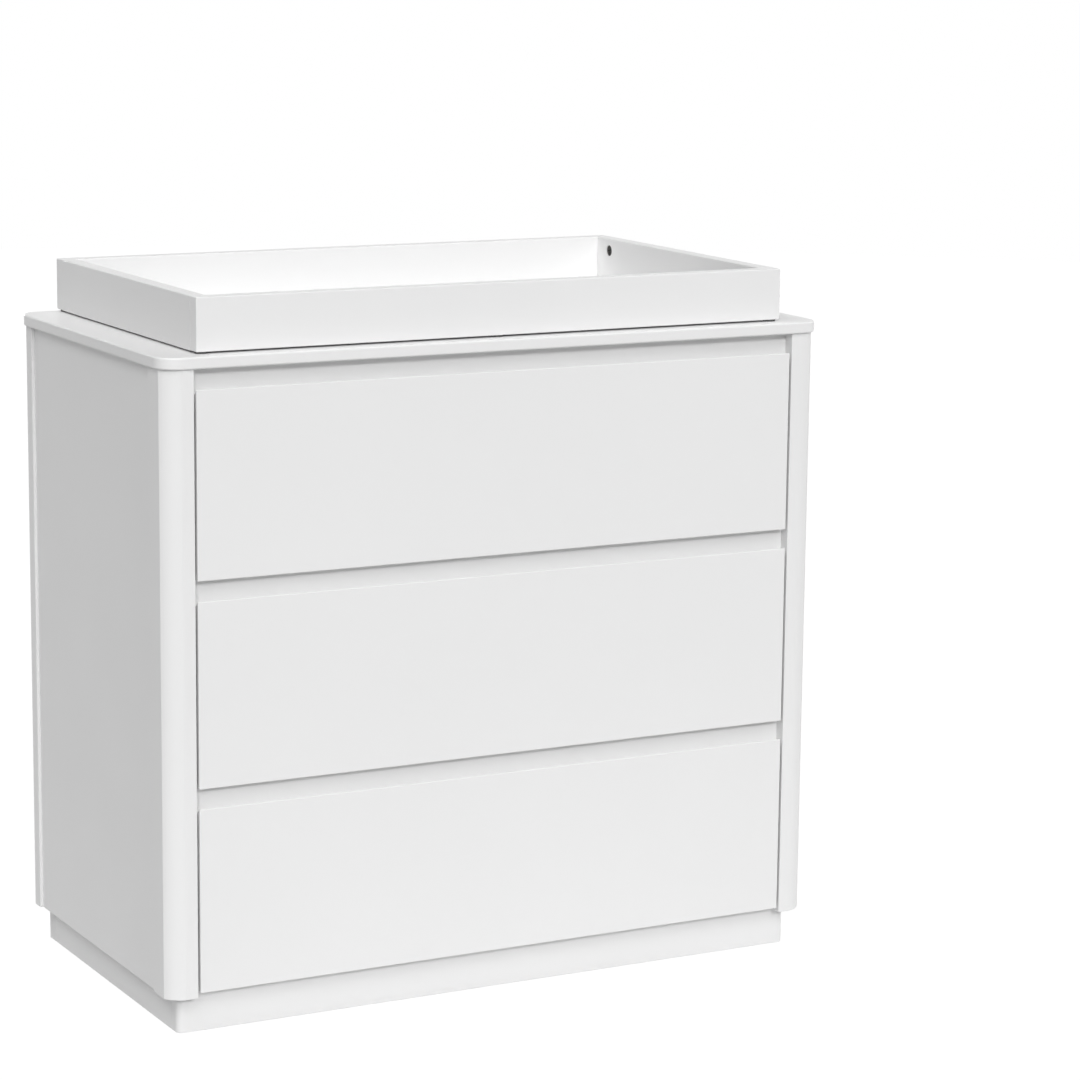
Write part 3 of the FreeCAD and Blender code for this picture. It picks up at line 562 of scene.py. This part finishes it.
class DRESSER_OT_fronts(Operator):
    """Makes the drawer fronts, whose tops slope down to the back"""
    bl_idname = "dresser.fronts"
    bl_label = "Drawer fronts"

    def execute(self, context):
        boards = context.scene.dresser_boards
        for level in LEVELS:
            node = f"{level}_drawer_front"
            low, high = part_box(node)
            ease = boards.front_edge
            land = low.y + boards.front_land
            corners = [(low.y, low.z, ease), (high.y, low.z, ease), (high.y, high.z - (high.y - land), ease),
                       (land, high.z, ease), (low.y, high.z, ease)]
            mesh = carried(f"{node}_sloped", rounded(corners, boards.edge_steps), low.x, high.x, ease, "x",
                           boards.edge_steps)
            stand_in(f"{node}_sloped", mesh, node, "sprayed_white")
        return {"FINISHED"}


class DRESSER_OT_tray(Operator):
    """Makes the long walls of the changing tray"""
    bl_idname = "dresser.tray"
    bl_label = "Tray walls"

    def execute(self, context):
        boards = context.scene.dresser_boards
        for end in ("front", "back"):
            dress_board(f"tray_wall_{end}", "x", boards.tray_edge)
        return {"FINISHED"}


class DRESSER_OT_finishes(Operator):
    """Gives each remaining board, slide and fitting its finish"""
    bl_idname = "dresser.finishes"
    bl_label = "Finishes"

    def finish_for(self, node):
        if node == "back_panel":
            return "printed_white"
        if node.endswith("drawer_back"):
            return "ply_back"
        if node.endswith("drawer_bottom"):
            return "ply_floor"
        # The cam locks get near-black metal as painted shade for their deep holes.
        if node.endswith("cam_locks"):
            return "dark_die_cast"
        slot = next(s["material_slot"] for s in frame["record"]["subparts"] if s["node"] == node)
        return {"white_lacquer": "sprayed_white", "drawer_wood": "ply_side", "dowel_wood": "bare_beech",
                "zinc_fitting": "zinc_plate", "slide_steel": "galvanised", "pad_rubber": "foam_rubber"}[slot]

    def execute(self, context):
        for node, thing in NODES.items():
            thing.data.materials.clear()
            thing.data.materials.append(finish_of(self.finish_for(node)))
        return {"FINISHED"}


class DRESSER_OT_stage(Operator):
    """Makes the floor, the white surroundings, the lamps and the camera"""
    bl_idname = "dresser.stage"
    bl_label = "Studio"

    def make_floor(self, studio):
        """A wide disc at floor height: camera and gloss see white, with part of the real shadow."""
        turn = np.linspace(0, 2 * pi, FLOOR_SIDES, endpoint=False)
        edge = np.stack([FLOOR_RADIUS * np.cos(turn), FLOOR_RADIUS * np.sin(turn),
                         np.full(FLOOR_SIDES, -FLOOR_DROP)], axis=1)
        mesh = bpy.data.meshes.new("studio_floor")
        mesh.from_pydata(edge, [], [list(range(FLOOR_SIDES))])
        recipe = Recipe("studio_floor")
        diffuse = recipe.add("ShaderNodeBsdfDiffuse", inputs={"Color": solid(studio.floor_paint)})
        white = recipe.add("ShaderNodeEmission", inputs={"Color": (1, 1, 1, 1), "Strength": FLOOR_WHITE})
        whiteness = self.seen(recipe) * (1 - studio.shadow)
        mixed = recipe.add("ShaderNodeMixShader", inputs={0: whiteness, 1: diffuse, 2: white})
        recipe.tree.links.new(mixed.socket, recipe.end.inputs["Surface"])
        mesh.materials.append(recipe.material)
        floor = bpy.data.objects.new("studio_floor", mesh)
        bpy.context.scene.collection.objects.link(floor)

    def seen(self, recipe):
        """1 for what the camera sees, directly, mirrored or through glass, and 0 for the light itself."""
        wires = [recipe.add("ShaderNodeLightPath", output=name)
                 for name in ("Is Camera Ray", "Is Glossy Ray", "Is Transmission Ray")]
        return recipe.math("MAXIMUM", recipe.math("MAXIMUM", wires[0], wires[1]), wires[2])

    def make_world(self, studio):
        world = bpy.data.worlds.new("studio_white")
        bpy.context.scene.world = world
        world.use_nodes = True
        recipe = Recipe.__new__(Recipe)
        recipe.tree = world.node_tree
        recipe.tree.nodes.clear()
        recipe.end = recipe.tree.nodes.new("ShaderNodeOutputWorld")
        strength = studio.ambient + self.seen(recipe) * (1 - studio.ambient)
        sky = recipe.add("ShaderNodeBackground", inputs={"Color": (1, 1, 1, 1), "Strength": strength})
        recipe.tree.links.new(sky.socket, recipe.end.inputs["Surface"])

    def add_lamp(self, name, azimuth, elevation, size, energy):
        """A far lamp: parallel light with the softness of its apparent size."""
        light = bpy.data.lights.new(name, "SUN")
        light.energy, light.angle = energy, radians(size)
        turn, rise = radians(azimuth), radians(elevation)
        towards = Vector((sin(turn) * cos(rise), -cos(turn) * cos(rise), sin(rise)))
        thing = bpy.data.objects.new(name, light)
        thing.rotation_euler = (-towards).to_track_quat("-Z", "Y").to_euler()
        bpy.context.scene.collection.objects.link(thing)

    def add_camera(self):
        """The photograph's viewpoint, turned to the right, tilted down and rolled about its own axis."""
        turn, tilt, roll = radians(CAMERA_TURN), radians(CAMERA_TILT), radians(CAMERA_ROLL)
        ahead = Vector((sin(turn) * cos(tilt), cos(turn) * cos(tilt), -sin(tilt)))
        level = Vector((cos(turn), -sin(turn), 0))
        rise = level.cross(ahead)
        right = level * cos(roll) + rise * sin(roll)
        up = rise * cos(roll) - level * sin(roll)
        lens = bpy.data.cameras.new("photo_camera")
        lens.sensor_fit = "HORIZONTAL"
        lens.sensor_width = CAMERA_SENSOR
        lens.lens = CAMERA_LENS
        lens.clip_start, lens.clip_end = CAMERA_NEAR, CAMERA_FAR
        camera = bpy.data.objects.new("photo_camera", lens)
        facing = Matrix((right, up, -ahead)).transposed().to_4x4()
        camera.matrix_world = Matrix.Translation(CAMERA_PLACE) @ facing
        bpy.context.scene.collection.objects.link(camera)
        bpy.context.scene.camera = camera

    def execute(self, context):
        studio = context.scene.dresser_studio
        self.make_floor(studio)
        self.make_world(studio)
        for name, (azimuth, elevation, size) in LAMPS.items():
            self.add_lamp(f"{name}_lamp", azimuth, elevation, size, getattr(studio, name))
        self.add_camera()
        context.scene.view_settings.view_transform = "Standard"
        return {"FINISHED"}


PIECES = (DRESSER_OT_top, DRESSER_OT_posts, DRESSER_OT_sides, DRESSER_OT_plinth, DRESSER_OT_fronts,
          DRESSER_OT_tray, DRESSER_OT_finishes, DRESSER_OT_stage)
SETTINGS = {
    "dresser_boards": BoardSettings,
    "dresser_finish": FinishSettings,
    "dresser_studio": StudioSettings,
}


class DRESSER_PT_pieces(Panel):
    """Lists the pieces of the dresser in the sidebar"""
    bl_idname = "DRESSER_PT_pieces"
    bl_label = "Changing dresser"
    bl_space_type = "VIEW_3D"
    bl_region_type = "UI"
    bl_category = "Dresser"

    def draw(self, context):
        for operator in PIECES:
            self.layout.operator(operator.bl_idname)
        for kept, kind in SETTINGS.items():
            column = self.layout.column()
            for name in kind.__annotations__:
                column.prop(getattr(context.scene, kept), name)


def register():
    for kind in (*SETTINGS.values(), *PIECES, DRESSER_PT_pieces):
        bpy.utils.register_class(kind)
    for name, kind in SETTINGS.items():
        setattr(bpy.types.Scene, name, PointerProperty(type=kind))


def unregister():
    for name in SETTINGS:
        delattr(bpy.types.Scene, name)
    for kind in reversed((*SETTINGS.values(), *PIECES, DRESSER_PT_pieces)):
        bpy.utils.unregister_class(kind)


def main():
    register()
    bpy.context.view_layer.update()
    bpy.ops.dresser.finishes()
    bpy.ops.dresser.top()
    bpy.ops.dresser.posts()
    bpy.ops.dresser.sides()
    bpy.ops.dresser.plinth()
    bpy.ops.dresser.fronts()
    bpy.ops.dresser.tray()
    bpy.ops.dresser.stage()


if __name__ == "__main__":
    main()
